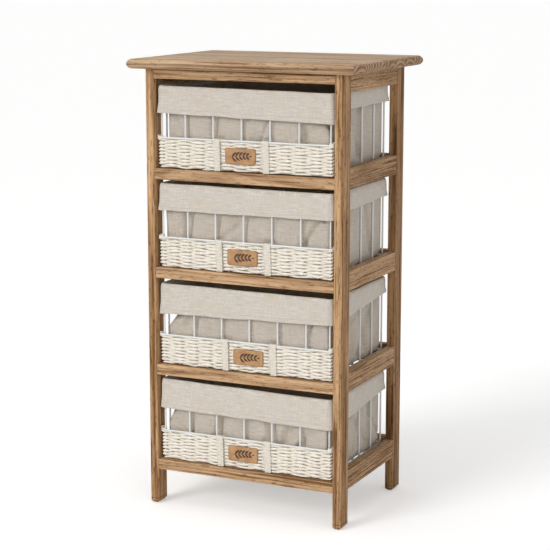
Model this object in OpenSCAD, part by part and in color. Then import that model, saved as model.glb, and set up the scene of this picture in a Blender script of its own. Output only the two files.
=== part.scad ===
// Wooden drawer cabinet with four pull-out wire baskets.
// Millimetres, +Z up. Origin: middle of the footprint, on the floor. The front faces -Y.

/* [Cabinet] */
// Overall width, across the top board
cabinet_w = 400; // [360:1:520]
// Overall depth, across the top board
cabinet_d = 300; // [280:1:380]
// Overall height, floor to top
cabinet_h = 750; // [690:1:900]
// Thickness of the top board, whose edges are fully rounded
top_t = 16; // [12:1:24]
// How far the top board stands out past the posts at each side
side_overhang = 25; // [5:1:40]
// How far the top board stands out past the posts at the front
front_overhang = 18; // [5:1:35]
// How far the top board stands out past the posts at the back
back_overhang = 20; // [2:1:30]

/* [Posts] */
// Width of a post, seen from the front
post_w = 15; // [14:1:24]
// Depth of a post, seen from the side
post_d = 31; // [26:1:42]
// Rounding of the posts' long edges
post_r = 2; // [0.5:0.1:4]
// Bevel round the foot of a post
foot_bevel = 4; // [1:0.5:5]
// Clear height under the lowest rails
floor_gap = 60; // [30:1:90]

/* [Rails] */
// How far the rails' outer faces lie behind the posts' faces
rail_inset = 1; // [0.4:0.1:2]
// Rounding of the rails' long edges
rail_r = 1.5; // [0.5:0.1:2.5]
// Height of a front rail
front_rail_h = 18; // [16:1:24]
// Thickness of a front rail
front_rail_t = 16; // [14:1:20]
// Height of a side rail
side_rail_h = 32; // [26:1:40]
// Height of the side aprons under the top board
side_apron_h = 30; // [24:1:40]
// Height of a back rail
back_rail_h = 32; // [26:1:40]
// Thickness of a back rail
back_rail_t = 16; // [14:1:20]
// Height of the front and back aprons under the top board
apron_h = 16; // [14:1:28]
// Width of a runner, from the side rail inwards
runner_w = 20; // [14:1:30]
// Height of a runner
runner_h = 16; // [12:1:16]

/* [Dowels and screws] */
// Diameter of a dowel
dowel_d = 8; // [5:0.5:9]
// Depth of a dowel in a post
dowel_in_post = 10; // [6:0.5:11]
// Depth of a dowel in a rail
dowel_in_rail = 20; // [12:1:25]
// Diameter of the screws in the top board
top_screw_d = 4; // [3:0.1:5]
// How far the top board's screws reach into it
top_screw_bite = 9; // [5:0.5:9.5]
// Distance of the top board's screws from the middle
top_screw_x = 100; // [60:1:120]
// Diameter of the screws in the runners
runner_screw_d = 3.5; // [3:0.1:4.5]
// How far the runners' screws reach into the side rails
runner_screw_bite = 9; // [5:0.5:11]
// Distance between the two screws in a runner
runner_screw_pitch = 110; // [60:1:130]

/* [Wire baskets] */
// Diameter of the basket wires
wire_d = 3; // [2.4:0.1:3.6]
// Diameter of the rim wire
rim_d = 4; // [3.4:0.1:5]
// How deep crossing wires are welded into each other
weld = 0.4; // [0.2:0.1:0.6]
// Bend radius of the rim at its corners, on the wire's middle
corner_r = 6; // [5:0.5:9]
// Bend radius of the wires at the bottom, on the wire's middle
bend_r = 6; // [4:0.5:7]
// Gap from the basket wires to the posts at each side
basket_side_gap = 6.5; // [5:0.5:15]
// How far the woven band lies behind the posts' front faces
basket_set_in = 5; // [2:0.5:12]
// How far a basket can still be pushed back
push_room = 10; // [6:1:40]
// Gap from a liner's cuff to the rail above it
head_room = 14; // [4:0.5:20]
// Height of the front wire above the woven band
band_wire_z = 50.5; // [44:0.5:56]
// Spaces between the upright wires across the front
front_bays = 6; // [4:2:6]
// How far the inner front wires of the highest basket sit right of the middle
front_shift_1 = -5; // [-8:0.5:8]
// The same for the second basket
front_shift_2 = -2; // [-8:0.5:8]
// The same for the third basket
front_shift_3 = 8; // [-8:0.5:8]
// The same for the lowest basket
front_shift_4 = -2; // [-8:0.5:8]
// Distance between the upright wires at the sides, counted from the back
side_wire_pitch = 51; // [40:1:60]

/* [Liners] */
// Thickness of the linen
liner_t = 1.5; // [1:0.1:2.2]
// Depth of the folded cuff at the front
cuff_h = 44; // [30:1:54]
// Depth of the folded cuff at the back, to which it narrows along the sides
back_cuff_h = 28; // [20:1:44]
// Gap from the backs of the straps in to the bag
bag_gap = 0.5; // [0.3:0.1:5]
// Rounding of the bag's upright corners
bag_r = 12; // [8:1:40]

/* [Woven bands, straps and tags] */
// Thickness of the woven band
band_t = 7; // [6:0.1:8]
// Height of the band's lower edge above the basket's base
band_z = 2.5; // [1.4:0.1:4]
// How far the band reaches along the sides past its corners
band_return = 4; // [1:0.5:12]
// Width of a strap
strap_w = 12; // [8:0.5:16]
// Thickness of a strap
strap_t = 1; // [0.6:0.1:1.1]
// Width of the leather tag
tag_w = 54; // [30:1:58]
// Height of the leather tag
tag_h = 26; // [16:1:30]
// Thickness of the leather tag
tag_t = 1.8; // [1:0.1:2.5]
// Rounding of the tag's corners
tag_r = 3; // [1:0.5:6]
// Height of the tag's middle above the basket's base
tag_z = 26.5; // [22:0.5:30]

/* [Hidden] */
// Number of baskets; level 1 is the highest and level 0 the apron
levels = 4;
$fn = 48;

// Gap of a basket over its runners
run_gap = 0.3;
// Gap between cloth, rope or strap and the wire that it lies against
soft_gap = 0.3;
// Gap around dowels and screws in their holes, and at their ends
hole_fit = 0.1;
hole_end = 0.5;

// Planes of the frame
half_w = cabinet_w / 2;
post_x = half_w - side_overhang;
inner_x = post_x - post_w;
front_y = -cabinet_d / 2 + front_overhang;
back_y = cabinet_d / 2 - back_overhang;
front_post_y = front_y + post_d;
back_post_y = back_y - post_d;
top_z = cabinet_h - top_t;
apron_z = top_z - apron_h;
side_rail_t = post_w - rail_inset;
front_rail_y = front_y + rail_inset;
back_rail_y = back_y - rail_inset - back_rail_t;
pitch = (apron_z - floor_gap) / levels;
runner_y = front_rail_y + front_rail_t;

// Planes of a basket's wires, in its own height from the base up
wire_x = inner_x - basket_side_gap - wire_d / 2;
wire_front = front_y + basket_set_in + band_t / 2;
wire_back = back_rail_y - push_room - wire_d / 2;
wire_step = wire_d - weld;
basket_h = pitch - front_rail_h - run_gap - head_room;
rim_z = basket_h - liner_t - soft_gap - rim_d / 2;
cross_wire_z = wire_d / 2;
long_wire_z = cross_wire_z + wire_step;
nest = bend_r - (bend_r - wire_step) / sqrt(2);
side_bar_z = cross_wire_z + nest;
end_bar_z = long_wire_z + nest;
strap_back = nest + wire_d / 2 + soft_gap + strap_t;
bag_inset = strap_back + bag_gap;
bag_z = long_wire_z + wire_d / 2 + soft_gap;
band_top = band_wire_z - wire_d / 2 - soft_gap;
cuff_out = rim_d / 2 + soft_gap + liner_t;
front_shift = [front_shift_1, front_shift_2, front_shift_3, front_shift_4];

// Colours
wood = [0.72, 0.58, 0.43];
dark_wood = [0.56, 0.43, 0.31];
beech = [0.84, 0.72, 0.56];
steel = [0.66, 0.67, 0.69];
white_wire = [0.90, 0.91, 0.91];
linen = [0.84, 0.81, 0.76];
rope = [0.93, 0.90, 0.84];
webbing = [0.89, 0.87, 0.82];
leather = [0.72, 0.55, 0.38];

// Undersides and heights of the rails at level k, where 0 is the apron
function level_z(k) = floor_gap + (levels - k) * pitch;
function side_h(k) = k == 0 ? side_apron_h : side_rail_h;
function side_z(k) = k == 0 ? top_z - side_h(k) : level_z(k);
function front_h(k) = k == 0 ? apron_h : front_rail_h;
function back_h(k) = k == 0 ? apron_h : back_rail_h;
function basket_z(k) = level_z(k) + front_rail_h + run_gap;

// Places that repeat
function front_wire_x(i, k) = -wire_x + i * 2 * wire_x / front_bays + front_shift[k - 1];
function side_wire_count() = floor((wire_back - wire_front - 4 * wire_d) / side_wire_pitch);
function side_wire_y(i) = wire_back - i * side_wire_pitch;
function dowel_heights(z, h) = h < 2.6 * dowel_d ? [z + h / 2] : [z + h / 4, z + 3 * h / 4];
function strap_x(side, k) = side < 0
    ? front_wire_x(front_bays / 2 - 1, k) + wire_d / 2 + soft_gap + strap_w / 2
    : front_wire_x(front_bays / 2 + 1, k) - wire_d / 2 - soft_gap - strap_w / 2;

// Rectangle with round corners, centred
module round_rect(w, h, r) {
    square([w - 2 * r, h], center = true);
    square([w, h - 2 * r], center = true);
    for (x = [-1, 1], y = [-1, 1])
        translate([x * (w / 2 - r), y * (h / 2 - r)]) circle(r);
}

// Bar along X with rounded long edges, from one end at the origin's plane
module bar_x(length, depth, height) {
    rotate([90, 0, 90])
        linear_extrude(length)
            translate([depth / 2, height / 2]) round_rect(depth, height, rail_r);
}

// The same bar along Y
module bar_y(length, width, height) {
    translate([0, length, 0]) rotate([90, 0, 0])
        linear_extrude(length)
            translate([width / 2, height / 2]) round_rect(width, height, rail_r);
}

// Dowels along X at the end of a front or back rail; fit and end_play make their holes
module x_dowels(side, y, z, h, fit = 0, end_play = 0) {
    for (dz = dowel_heights(z, h))
        translate([side * (inner_x - dowel_in_rail - end_play), y, dz])
            rotate([0, side * 90, 0])
                cylinder(d = dowel_d + 2 * fit, h = dowel_in_rail + dowel_in_post + 2 * end_play);
}

// Dowels along Y at the end of a side rail, at the front (-1) or the back (1)
module y_dowels(side, end, z, h, fit = 0, end_play = 0) {
    face = end < 0 ? front_post_y : back_post_y;
    for (dz = dowel_heights(z, h))
        translate([side * (inner_x + side_rail_t / 2), face - end * (dowel_in_rail + end_play), dz])
            rotate([-end * 90, 0, 0])
                cylinder(d = dowel_d + 2 * fit, h = dowel_in_rail + dowel_in_post + 2 * end_play);
}

// All dowels of one post
module post_dowels(side, end, fit = 0, end_play = 0) {
    for (k = [0 : levels]) {
        if (end < 0) x_dowels(side, front_rail_y + front_rail_t / 2, level_z(k), front_h(k), fit, end_play);
        else x_dowels(side, back_rail_y + back_rail_t / 2, level_z(k), back_h(k), fit, end_play);
        y_dowels(side, end, side_z(k), side_h(k), fit, end_play);
    }
}

// Countersunk wood screw along +Z, its head's face at the origin
module screw(d, length, fit = 0) {
    head_h = d * 0.6;
    tip_h = d;
    cylinder(d1 = 2 * d + 2 * fit, d2 = d + 2 * fit, h = head_h);
    cylinder(d = d + 2 * fit, h = length - tip_h + fit);
    translate([0, 0, length - tip_h + fit]) cylinder(d1 = d + 2 * fit, d2 = d / 4 + 2 * fit, h = tip_h);
}

// The four screws that come up through the aprons into the top board
module top_screw_set(fit = 0) {
    for (x = [-1, 1], y = [front_rail_y + front_rail_t / 2, back_rail_y + back_rail_t / 2])
        translate([x * top_screw_x, y, apron_z])
            screw(top_screw_d, apron_h + top_screw_bite, fit);
}

// The two screws of one runner
module runner_screw_pair(side, k, fit = 0) {
    middle_y = (runner_y + back_rail_y) / 2;
    for (y = [-1, 1])
        translate([side * (inner_x - runner_w), middle_y + y * runner_screw_pitch / 2,
                   level_z(k) + front_rail_h - runner_h / 2])
            rotate([0, side * 90, 0])
                screw(runner_screw_d, runner_w + runner_screw_bite, fit);
}

// Top board: a round edge on all four sides, mitred at the corners
module top_board() {
    color(wood)
    difference() {
        intersection() {
            translate([-half_w, 0, top_z + top_t / 2]) rotate([90, 0, 90])
                linear_extrude(cabinet_w) round_edge_section(cabinet_d);
            translate([0, cabinet_d / 2, top_z + top_t / 2]) rotate([90, 0, 0])
                linear_extrude(cabinet_d) round_edge_section(cabinet_w);
        }
        top_screw_set(hole_fit);
    }
}

module round_edge_section(w) {
    square([w - top_t, top_t], center = true);
    for (x = [-1, 1]) translate([x * (w - top_t) / 2, 0]) circle(d = top_t);
}

// Post: rounded long edges and a bevelled foot
module post(side, end) {
    color(wood)
    difference() {
        translate([side * (post_x - post_w / 2), end < 0 ? front_y + post_d / 2 : back_y - post_d / 2, 0])
            intersection() {
                linear_extrude(top_z) round_rect(post_w, post_d, post_r);
                translate([0, post_d / 2, 0]) rotate([90, 0, 0])
                    linear_extrude(post_d) foot_section(post_w);
                translate([-post_w / 2, 0, 0]) rotate([90, 0, 90])
                    linear_extrude(post_w) foot_section(post_d);
            }
        post_dowels(side, end, hole_fit, hole_end);
    }
}

module foot_section(w) {
    polygon([
        [-w / 2 + foot_bevel, 0], [w / 2 - foot_bevel, 0], [w / 2, foot_bevel],
        [w / 2, top_z], [-w / 2, top_z], [-w / 2, foot_bevel]
    ]);
}

// Front rail at level k, or the front apron at level 0
module front_rail(k) {
    color(wood)
    difference() {
        translate([-inner_x, front_rail_y, level_z(k)]) bar_x(2 * inner_x, front_rail_t, front_h(k));
        for (side = [-1, 1])
            x_dowels(side, front_rail_y + front_rail_t / 2, level_z(k), front_h(k), hole_fit, hole_end);
        if (k == 0) top_screw_set(hole_fit);
    }
}

// Back rail at level k, or the back apron at level 0
module back_rail(k) {
    color(dark_wood)
    difference() {
        translate([-inner_x, back_rail_y, level_z(k)]) bar_x(2 * inner_x, back_rail_t, back_h(k));
        for (side = [-1, 1])
            x_dowels(side, back_rail_y + back_rail_t / 2, level_z(k), back_h(k), hole_fit, hole_end);
        if (k == 0) top_screw_set(hole_fit);
    }
}

// Side rail at level k, or the side apron at level 0
module side_rail(side, k) {
    color(dark_wood)
    difference() {
        translate([side < 0 ? -inner_x - side_rail_t : inner_x, front_post_y, side_z(k)])
            bar_y(back_post_y - front_post_y, side_rail_t, side_h(k));
        for (end = [-1, 1]) y_dowels(side, end, side_z(k), side_h(k), hole_fit, hole_end);
        if (k > 0) runner_screw_pair(side, k, hole_fit);
    }
}

// Runner: batten inside a side rail, its top level with the front rail's top
module runner(side, k) {
    color(dark_wood)
    difference() {
        translate([side < 0 ? -inner_x : inner_x - runner_w, runner_y, level_z(k) + front_rail_h - runner_h])
            bar_y(back_rail_y - runner_y, runner_w, runner_h);
        runner_screw_pair(side, k, hole_fit);
    }
}

module frame_dowels() {
    color(beech)
    for (side = [-1, 1], end = [-1, 1]) post_dowels(side, end);
}

module top_screws() {
    color(steel) top_screw_set();
}

module runner_screws() {
    color(steel)
    for (side = [-1, 1], k = [1 : levels]) runner_screw_pair(side, k);
}

// Straight wire from the origin along +Z
module wire(length, d = wire_d) {
    cylinder(d = d, h = length);
}

// Quarter turn of a wire round the origin, from +X to +Y
module bend(r, d) {
    rotate_extrude(angle = 90) translate([r, 0]) circle(d = d);
}

// Closed ring of thicker wire round the top of the basket
module rim() {
    x = wire_x - corner_r;
    y0 = wire_front + corner_r;
    y1 = wire_back - corner_r;
    for (y = [wire_front, wire_back]) translate([-x, y, 0]) rotate([0, 90, 0]) wire(2 * x, rim_d);
    for (side = [-1, 1]) translate([side * wire_x, y0, 0]) rotate([-90, 0, 0]) wire(y1 - y0, rim_d);
    translate([x, y1, 0]) bend(corner_r, rim_d);
    translate([-x, y1, 0]) rotate([0, 0, 90]) bend(corner_r, rim_d);
    translate([-x, y0, 0]) rotate([0, 0, 180]) bend(corner_r, rim_d);
    translate([x, y0, 0]) rotate([0, 0, 270]) bend(corner_r, rim_d);
}

// Wire bent to a U in the XZ plane: down one side, under the base and up the other side
module u_wire(span, base_z) {
    leg = rim_z - base_z - bend_r;
    for (side = [-1, 1]) translate([side * span / 2, 0, base_z + bend_r]) wire(leg);
    translate([-span / 2 + bend_r, 0, base_z]) rotate([0, 90, 0]) wire(span - 2 * bend_r);
    translate([span / 2 - bend_r, 0, base_z + bend_r]) rotate([-90, 0, 0]) bend(bend_r, wire_d);
    translate([-span / 2 + bend_r, 0, base_z + bend_r]) rotate([-90, 0, 180]) bend(bend_r, wire_d);
}

// Four straight bars laid in the bends of the U wires, one along each side and end
module foot_bars() {
    x = wire_x - nest;
    y0 = wire_front + nest;
    y1 = wire_back - nest;
    over = wire_d / 2;
    for (side = [-1, 1])
        translate([side * x, y0 - over, side_bar_z]) rotate([-90, 0, 0]) wire(y1 - y0 + 2 * over);
    for (y = [y0, y1])
        translate([-x - over, y, end_bar_z]) rotate([0, 90, 0]) wire(2 * (x + over));
}

// Wire across the front, over the woven band, hooked round the corner wires
module band_wire() {
    r = corner_r + wire_step;
    x = wire_x - corner_r;
    y = wire_front + corner_r;
    translate([-x, y - r, 0]) rotate([0, 90, 0]) wire(2 * x);
    translate([x, y, 0]) rotate([0, 0, -90]) bend(r, wire_d);
    translate([-x, y, 0]) rotate([0, 0, 180]) bend(r, wire_d);
}

// Middles of the four corner wires
module at_corner_wires() {
    inset = corner_r * (1 - sqrt(0.5));
    for (side = [-1, 1], y = [wire_front + inset, wire_back - inset])
        translate([side * (wire_x - inset), y, 0]) children();
}

// Wire basket: rim, U wires both ways, foot bars, corner wires and the wire over the band
module basket_frame(k) {
    color(white_wire)
    translate([0, 0, basket_z(k)]) {
        translate([0, 0, rim_z]) rim();
        foot_bars();
        translate([0, 0, band_wire_z]) band_wire();
        for (i = [1 : front_bays - 1])
            translate([front_wire_x(i, k), (wire_front + wire_back) / 2, 0]) rotate([0, 0, 90])
                u_wire(wire_back - wire_front, long_wire_z);
        for (i = [1 : side_wire_count()])
            translate([0, side_wire_y(i), 0]) u_wire(2 * wire_x, cross_wire_z);
        at_corner_wires() translate([0, 0, end_bar_z - wire_d / 2]) wire(rim_z - end_bar_z + wire_d / 2);
    }
}

// Plan of the basket, inset from the upright wires' planes
module basket_plan(inset, r) {
    w = 2 * (wire_x - inset);
    d = wire_back - wire_front - 2 * inset;
    translate([0, (wire_front + wire_back) / 2]) round_rect(w, d, r);
}

// Linen liner: a bag inside the wires, folded over the rim and down outside as a cuff
module liner(k) {
    cuff_r = corner_r + cuff_out;
    color(linen)
    translate([0, 0, basket_z(k)]) {
        difference() {
            translate([0, 0, bag_z]) linear_extrude(basket_h - bag_z) basket_plan(bag_inset, bag_r);
            translate([0, 0, bag_z + liner_t])
                linear_extrude(basket_h) basket_plan(bag_inset + liner_t, bag_r - liner_t);
        }
        translate([0, 0, basket_h - liner_t]) linear_extrude(liner_t) difference() {
            basket_plan(-cuff_out, cuff_r);
            basket_plan(bag_inset + liner_t, bag_r - liner_t);
        }
        intersection() {
            linear_extrude(basket_h) difference() {
                basket_plan(-cuff_out, cuff_r);
                basket_plan(-cuff_out + liner_t, cuff_r - liner_t);
            }
            translate([-half_w, 0, 0]) rotate([90, 0, 90]) linear_extrude(cabinet_w) cuff_side();
        }
    }
}

// Side view of the cuff, which is deeper at the front than at the back
module cuff_side() {
    front = wire_front - cuff_out;
    back = wire_back + cuff_out;
    polygon([[front, basket_h - cuff_h], [back, basket_h - back_cuff_h], [back, basket_h], [front, basket_h]]);
}

// Woven band: rope woven round the lower front wires, turned in at both corners
module wicker_band(k) {
    x = wire_x - corner_r;
    y = wire_front + corner_r;
    play = wire_d + 2 * soft_gap;
    color(rope)
    translate([0, 0, basket_z(k)])
    difference() {
        translate([0, 0, band_z]) linear_extrude(band_top - band_z) {
            translate([-x, wire_front - band_t / 2]) square([2 * x, band_t]);
            for (side = [-1, 1]) translate([side * x, y]) band_corner(side);
        }
        for (i = [1 : front_bays - 1]) {
            translate([front_wire_x(i, k), wire_front, 0]) wire(band_wire_z, play);
            translate([front_wire_x(i, k) - play / 2, wire_front, 0])
                cube([play, band_t, long_wire_z + bend_r + wire_d / 2]);
        }
        at_corner_wires() wire(band_wire_z, play);
        bar_groove(play);
    }
}

// Corner of the band: a quarter turn round the corner wire and a short return along the side
module band_corner(side) {
    difference() {
        circle(corner_r + band_t / 2);
        circle(corner_r - band_t / 2);
        translate([-side * cabinet_w / 2, 0]) square(cabinet_w, center = true);
        translate([0, cabinet_w / 2]) square(cabinet_w, center = true);
    }
    translate([side * corner_r - band_t / 2, 0]) square([band_t, band_return]);
}

// Room for the foot bars behind the band, open to the inside and below
module bar_groove(play) {
    out = wire_front + nest - play / 2;
    side = wire_x - nest + play / 2;
    translate([-side, out, 0]) cube([2 * side, band_t + corner_r + band_return, end_bar_z + play / 2]);
}

// Two webbing straps, each a closed loop round the band and the wire above it
module straps(k) {
    front = wire_front - wire_step - wire_d / 2 - soft_gap - strap_t;
    back = wire_front + strap_back;
    bottom = band_z - soft_gap - strap_t;
    top = band_wire_z + wire_d / 2 + soft_gap + strap_t;
    middle = [(front + back) / 2, (bottom + top) / 2];
    color(webbing)
    translate([0, 0, basket_z(k)])
    for (side = [-1, 1])
        translate([strap_x(side, k) - strap_w / 2, middle[0], middle[1]]) rotate([90, 0, 90])
            linear_extrude(strap_w) difference() {
                round_rect(back - front, top - bottom, 2 * strap_t);
                round_rect(back - front - 2 * strap_t, top - bottom - 2 * strap_t, strap_t);
            }
}

// Leather tag on the front of the band, midway between the straps
module tag(k) {
    color(leather)
    translate([(strap_x(-1, k) + strap_x(1, k)) / 2, wire_front - band_t / 2, basket_z(k) + tag_z])
        rotate([90, 0, 0]) linear_extrude(tag_t) round_rect(tag_w, tag_h, tag_r);
}

top_board();
post(-1, -1);  // front_left_post
post(1, -1);  // front_right_post
post(-1, 1);  // back_left_post
post(1, 1);  // back_right_post
front_rail(0);  // front_apron
back_rail(0);  // back_apron
side_rail(-1, 0);  // left_apron
side_rail(1, 0);  // right_apron
frame_dowels();
top_screws();
runner_screws();
for (k = [1 : levels]) {
    front_rail(k);
    back_rail(k);
    side_rail(-1, k);
    side_rail(1, k);
    runner(-1, k);
    runner(1, k);
    basket_frame(k);
    liner(k);
    wicker_band(k);
    straps(k);
    tag(k);
}
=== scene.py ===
import math
from types import SimpleNamespace

import bpy
import mathutils
import numpy as np
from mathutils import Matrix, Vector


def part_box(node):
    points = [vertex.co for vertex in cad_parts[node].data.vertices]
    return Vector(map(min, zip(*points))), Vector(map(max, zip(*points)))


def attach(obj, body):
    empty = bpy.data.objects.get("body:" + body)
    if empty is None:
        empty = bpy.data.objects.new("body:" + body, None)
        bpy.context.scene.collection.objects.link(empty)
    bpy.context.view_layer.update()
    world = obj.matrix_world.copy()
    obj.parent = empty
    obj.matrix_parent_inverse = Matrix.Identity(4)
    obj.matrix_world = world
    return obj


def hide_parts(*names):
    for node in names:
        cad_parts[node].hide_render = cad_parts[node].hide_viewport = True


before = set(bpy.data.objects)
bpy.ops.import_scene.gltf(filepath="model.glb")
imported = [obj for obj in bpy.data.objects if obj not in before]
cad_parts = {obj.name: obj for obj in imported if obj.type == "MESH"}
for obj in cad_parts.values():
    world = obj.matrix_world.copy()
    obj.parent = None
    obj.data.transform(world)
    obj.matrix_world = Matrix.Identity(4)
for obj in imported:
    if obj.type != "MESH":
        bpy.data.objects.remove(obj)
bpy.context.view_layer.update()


# The photograph's view
# A long lens looks a little down on the cabinet's front and right side from 2.9 m away. The picture
# is square, 550 pixels wide, and the camera's place was fitted to the cabinet's corners in it.
picture_px = 550
focal_px = 1707.7
sensor_mm = 36
camera_place = (1.2028, -2.5634, 0.9132)
camera_yaw = 0.4400
camera_pitch = 0.1846
view_reach = 200


def put(name, data):
    """A new object in the scene, at the origin and unturned."""
    made = bpy.data.objects.new(name, data)
    bpy.context.scene.collection.objects.link(made)
    return made


lens = bpy.data.cameras.new("studio_lens")
lens.sensor_width = sensor_mm
lens.lens = sensor_mm * focal_px / picture_px
lens.clip_end = view_reach
camera = put("studio_camera", lens)
camera.location = camera_place
camera.rotation_euler = (math.pi / 2 - camera_pitch, 0, camera_yaw)
bpy.context.scene.camera = camera
bpy.context.scene.view_settings.view_transform = "Standard"


# Studio light and floor
# A wide soft key lamp from the front, a little to the left and above, a weak, low and warm fill from
# the right front, a lamp high above and an even white room. The matt white floor holds the shadow.
room_level = 0.46
floor_reach = 60.0
floor_drop = 0.0004
ground_lift = 0.335
white = (1, 1, 1, 1)


class Signal:
    """What a node puts out. A sum with it is a Math node in the same tree."""

    def __init__(self, socket):
        self.socket = socket
        self.tree = socket.id_data

    def __add__(self, other):
        return calc("ADD", self, other)

    def __sub__(self, other):
        return calc("SUBTRACT", self, other)

    def __rsub__(self, other):
        return calc("SUBTRACT", other, self)

    def __mul__(self, other):
        return calc("MULTIPLY", self, other)

    def __truediv__(self, other):
        return calc("DIVIDE", self, other)


def feed(node, inputs):
    """Links a Signal to each given socket of a node, or sets the socket's value."""
    for name, value in dict(inputs).items():
        if isinstance(value, Signal):
            value.tree.links.new(value.socket, node.inputs[name])
        else:
            node.inputs[name].default_value = value


def add(tree, kind, inputs=(), outs=(0,), **settings):
    """One node: its inputs by name or number. Gives the outputs named in outs, or the one output."""
    node = tree.nodes.new("ShaderNode" + kind)
    for setting, value in settings.items():
        setattr(node, setting, value)
    feed(node, inputs)
    signals = [Signal(node.outputs[out]) for out in outs]
    return signals if len(signals) > 1 else signals[0]


def tree_of(*values):
    """The node tree of the first Signal among the values."""
    return next(value.tree for value in values if isinstance(value, Signal))


def calc(operation, *values):
    """One sum on numbers, of which at least one is a Signal."""
    return add(tree_of(*values), "Math", enumerate(values), operation=operation)


def background_rays(tree):
    """1 for rays that look at the ground directly, by reflection or through glass, and 0 for light."""
    seen, mirrored, through = add(tree, "LightPath",
                                  outs=("Is Camera Ray", "Is Glossy Ray", "Is Transmission Ray"))
    return calc("MAXIMUM", calc("MAXIMUM", seen, mirrored), through)


def make_material(name, look, *details):
    """A material whose shader gets the inputs that look(tree, *details) works out."""
    material = bpy.data.materials.new(name)
    material.use_nodes = True
    feed(material.node_tree.nodes["Principled BSDF"], look(material.node_tree, *details))
    return material


def ground_look(tree):
    """Matt white ground that glows a little where it is seen, but gives no light."""
    return {"Base Color": (0.95, 0.95, 0.95, 1), "Roughness": 1.0, "Specular IOR Level": 0.0,
            "Emission Color": white, "Emission Strength": background_rays(tree) * ground_lift}


def soft_sun(name, level, height, side, spread, colour=white[:3]):
    """A far lamp, so high over the floor and so far to the right of the front, in degrees."""
    data = bpy.data.lights.new(name, "SUN")
    data.energy = level
    data.color = colour
    data.angle = math.radians(spread)
    put(name, data).rotation_euler = (math.pi / 2 - math.radians(height), 0, math.radians(side))


room = bpy.data.worlds.new("even_room")
room.use_nodes = True
room_strength = background_rays(room.node_tree) * (1 - room_level) + room_level
feed(room.node_tree.nodes["Background"], {"Color": white, "Strength": room_strength})
bpy.context.scene.world = room

soft_sun("key_lamp", 1.36, 27, -24, 28)
soft_sun("fill_lamp", 0.68, 7, 42, 30, (1, 0.93, 0.84))
high_lamp = bpy.data.lights.new("high_lamp", "AREA")
high_lamp.size = 2.6
high_lamp.energy = 12
put("high_lamp", high_lamp).location = (-0.4, -0.9, 3.2)

floor_signs = ((-1, -1), (1, -1), (1, 1), (-1, 1))
floor_corners = [(x * floor_reach, y * floor_reach, -floor_drop) for x, y in floor_signs]
floor_mesh = bpy.data.meshes.new("floor")
floor_mesh.from_pydata(floor_corners, [], [(0, 1, 2, 3)])
floor_mesh.materials.append(make_material("white_ground", ground_look))
put("floor", floor_mesh)


# Timber of the posts, aprons, rails and runners
# Each is a planed stick of light brown, knotty solid wood with eased edges and a thin matt oil. The
# grain runs along the stick. They are glued together with hidden dowels. The CAD solids stay.
def colour_mix(share, first, second, mode="MIX"):
    """One mix of two colours."""
    return add(tree_of(share, first, second), "Mix", {0: share, 6: first, 7: second}, (2,),
               data_type="RGBA", blend_type=mode)


def vector_calc(operation, vector, *others, out=0):
    """One sum on vectors."""
    return add(vector.tree, "VectorMath", enumerate((vector, *others)), (out,), operation=operation)


def smooth_step(value, low, high):
    """0 below low, 1 above high and a smooth change between them."""
    return add(value.tree, "MapRange", {0: value, 1: low, 2: high}, interpolation_type="SMOOTHSTEP")


def thin_line(value, middle, half_width):
    """1 within half_width of middle and 0 beyond twice that."""
    return 1 - smooth_step(calc("ABSOLUTE", value - middle), half_width, 2 * half_width)


def stretched_noise(vector, waves, detail=2.0, rough=0.5, out="Fac"):
    """Noise with so many waves to the metre along each axis, or one number for all three."""
    scaled = vector_calc("MULTIPLY", vector, np.resize(waves, 3))
    inputs = {"Vector": scaled, "Scale": 1.0, "Detail": detail, "Roughness": rough}
    return add(vector.tree, "TexNoise", inputs, (out,))


def cell_distance(vector, waves):
    """How far off the nearest of scattered points is, with so many of them to the metre."""
    return add(vector.tree, "TexVoronoi", {"Vector": vector_calc("MULTIPLY", vector, np.resize(waves, 3)),
                                           "Scale": 1.0})


def bump_normal(height, distance, strength):
    """The surface's normal after a bump over the given height."""
    return add(height.tree, "Bump", {"Height": height, "Distance": distance, "Strength": strength})


def object_place(tree):
    """Where a point of the piece is, in metres."""
    return add(tree, "TexCoord", outs=("Object",))


def axes(vector):
    """A vector's X, Y and Z."""
    return add(vector.tree, "SeparateXYZ", {0: vector}, ("X", "Y", "Z"))


def rgb(red, green, blue):
    """A colour as it looks on screen, 0 to 255, as the linear colour that a shader takes."""
    shown = np.array([red, green, blue]) / 255
    linear = np.where(shown <= 0.04045, shown / 12.92, ((shown + 0.055) / 1.055) ** 2.4)
    return (*linear.tolist(), 1.0)


def make_group(name, inputs, outputs):
    """A new node group with its sockets, which are given with their kinds, and its inputs as Signals."""
    group = bpy.data.node_groups.new(name, "ShaderNodeTree")
    for direction, sockets in (("INPUT", inputs), ("OUTPUT", outputs)):
        for socket, kind in sockets.items():
            group.interface.new_socket(socket, in_out=direction, socket_type="NodeSocket" + kind)
    given = group.nodes.new("NodeGroupInput")
    return group, [Signal(given.outputs[socket]) for socket in inputs]


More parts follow.
